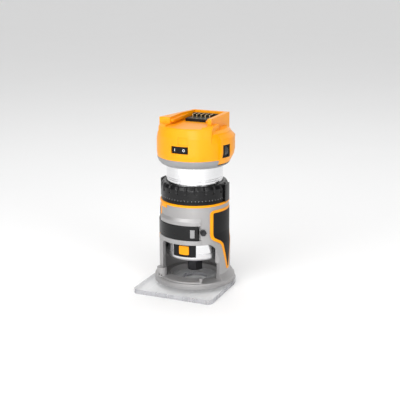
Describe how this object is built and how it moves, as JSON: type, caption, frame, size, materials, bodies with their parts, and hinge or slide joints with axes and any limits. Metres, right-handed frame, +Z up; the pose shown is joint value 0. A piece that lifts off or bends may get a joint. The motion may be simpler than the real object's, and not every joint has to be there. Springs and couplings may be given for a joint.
{
  "type": "trim router",
  "caption": "Cordless trim router: clear D-shaped base, cast arched body with clamp lever and grips, depth ring, sliding round motor and a head open for a battery.",
  "frame": {"origin": "on the spindle's axis at the underside of the sub-base, centre of the guide-bush seat", "axes": "+Z up the spindle towards the battery mount, -Y the working front with the clamp lever and switch, +X the side of the speed dial"},
  "size_m": [0.1028, 0.1234, 0.2108],
  "materials": {
    "clear_plate": "polished",
    "cast_metal": "satin cast",
    "polished_metal": "polished",
    "nose_metal": "machined",
    "steel": "brushed",
    "dark_steel": "blackened",
    "magnet": "ground",
    "laminations": "stacked sheet",
    "copper": "enamelled",
    "contact_metal": "plated",
    "yellow_plastic": "semi-gloss",
    "black_gloss": "semi-gloss",
    "black_plastic": "fine grain",
    "grey_plastic": "fine grain",
    "scale_plastic": null,
    "grip_rubber": "ribbed",
    "dial_plastic": "fine grain",
    "board": "coated"
  },
  "bodies": {
    "base": {"base_casting": "cast_metal", "sub_base": "clear_plate", "sub_base_screws": "steel", "guide_keys": "steel", "grip_left": "grip_rubber", "grip_right": "grip_rubber", "grip_border_left": "yellow_plastic", "grip_border_right": "yellow_plastic", "ring_trim": "yellow_plastic", "ring_retainer": "black_plastic", "lever_pin": "steel", "clamp_bolt": "dark_steel", "clamp_nut": "dark_steel"},
    "depth_ring": {"depth_ring": "black_gloss", "depth_scale": "scale_plastic"},
    "lock_lever": {"lock_lever": "black_gloss", "lever_inset": "grey_plastic"},
    "release_tab_left": {"release_tab_left": "black_gloss"},
    "release_tab_right": {"release_tab_right": "black_gloss"},
    "motor": {"motor_barrel": "polished_metal", "nose_housing": "nose_metal", "lock_bezel": "black_plastic", "lock_spring": "steel", "lower_bearing": "steel", "upper_bearing": "steel", "bearing_bridge": "black_plastic", "stator_core": "laminations", "stator_windings": "copper", "head_ring": "grey_plastic", "head_front_shell": "yellow_plastic", "head_rear_shell": "yellow_plastic", "switch_body": "black_plastic", "dial_bezel": "black_plastic", "dial_cradle": "black_plastic", "terminal_block": "black_plastic", "terminal_blades": "contact_metal", "controller_board": "board", "power_module": "black_plastic"},
    "spindle": {"spindle_shaft": "steel", "rotor": "magnet", "cooling_fan": "black_plastic"},
    "collet": {"collet": "steel"},
    "collet_nut": {"collet_nut": "dark_steel"},
    "lock_button": {"lock_button": "yellow_plastic", "lock_pin": "steel"},
    "switch_rocker": {"switch_rocker": "black_plastic"},
    "speed_dial": {"speed_dial": "dial_plastic"}
  },
  "joints": [
    {"name": "ring_turn", "type": "hinge", "parent": "base", "child": "depth_ring", "pos_m": [0, 0, 0.12], "axis": [0, 0, 1], "range_deg": [-361.5, 1081.5]},
    {"name": "motor_slide", "type": "slide", "parent": "base", "child": "motor", "axis": [0, 0, 1], "range_m": [-0.012, 0.036]},
    {"name": "lever_open", "type": "hinge", "parent": "base", "child": "lock_lever", "pos_m": [0.01824, -0.03739, 0.0746], "axis": [0, 0, 1], "range_deg": [0, 95]},
    {"name": "tab_left_press", "type": "slide", "parent": "base", "child": "release_tab_left", "axis": [1, 0, 0], "range_m": [0, 0.0006], "stiffness_N_per_m": 1500},
    {"name": "tab_right_press", "type": "slide", "parent": "base", "child": "release_tab_right", "axis": [-1, 0, 0], "range_m": [0, 0.0006], "stiffness_N_per_m": 1500},
    {"name": "spindle_spin", "type": "hinge", "parent": "motor", "child": "spindle", "pos_m": [0, 0, 0.08], "axis": [0, 0, 1], "continuous": true},
    {"name": "lock_press", "type": "slide", "parent": "motor", "child": "lock_button", "axis": [0, 1, 0], "range_m": [0, 0.003], "stiffness_N_per_m": 600, "deforming": ["lock_spring"]},
    {"name": "switch_rock", "type": "hinge", "parent": "motor", "child": "switch_rocker", "pos_m": [0, -0.04, 0.1766], "axis": [0, 0, 1], "range_deg": [0, 10]},
    {"name": "dial_turn", "type": "hinge", "parent": "motor", "child": "speed_dial", "pos_m": [0.03728, -0.00999, 0.1734], "axis": [0.2588, 0.9659, 0], "range_deg": [-135, 135]},
    {"name": "collet_slide", "type": "slide", "parent": "spindle", "child": "collet", "axis": [0, 0, -1], "range_m": [0, 0.003]},
    {"name": "nut_turn", "type": "hinge", "parent": "collet", "child": "collet_nut", "pos_m": [0, 0, 0.024], "axis": [0, 0, -1], "range_deg": [-1.5, 721.5]}
  ],
  "couplings": [
    {"joint": "ring_turn", "follows": "motor_slide", "rad_per_m": 523.6},
    {"joint": "nut_turn", "follows": "collet_slide", "rad_per_m": 4188.8}
  ]
}
